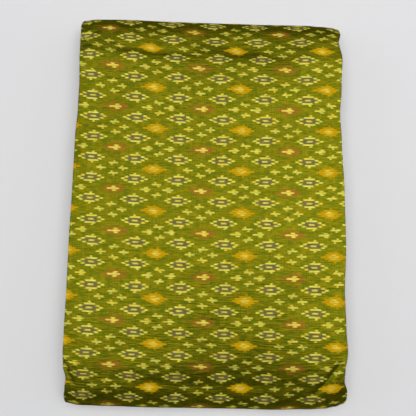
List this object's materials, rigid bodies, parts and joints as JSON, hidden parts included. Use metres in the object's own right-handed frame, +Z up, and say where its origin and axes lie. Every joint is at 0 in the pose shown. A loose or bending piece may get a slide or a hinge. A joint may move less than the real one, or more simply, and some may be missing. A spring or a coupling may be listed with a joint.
{
  "type": "folded ikat silk cloth",
  "caption": "Cut length of ikat silk, quartered lengthwise and folded over and over into a flat packet with two rolled ends.",
  "frame": {"origin": "on the surface that the packet lies on, under the middle of its box", "axes": "+X along the weft, from the left fold edge to the right; +Y along the warp, from the near rolled end to the far one; +Z up through the layers"},
  "size_m": [0.2524, 0.3688, 0.0273],
  "materials": {
    "ikat_silk": "olive green silk with a soft sheen, weft ikat motifs in light yellow, orange, grey purple and brown pink"
  },
  "bodies": {
    "root": {"folded_cloth": "ikat_silk"}
  },
  "joints": []
}
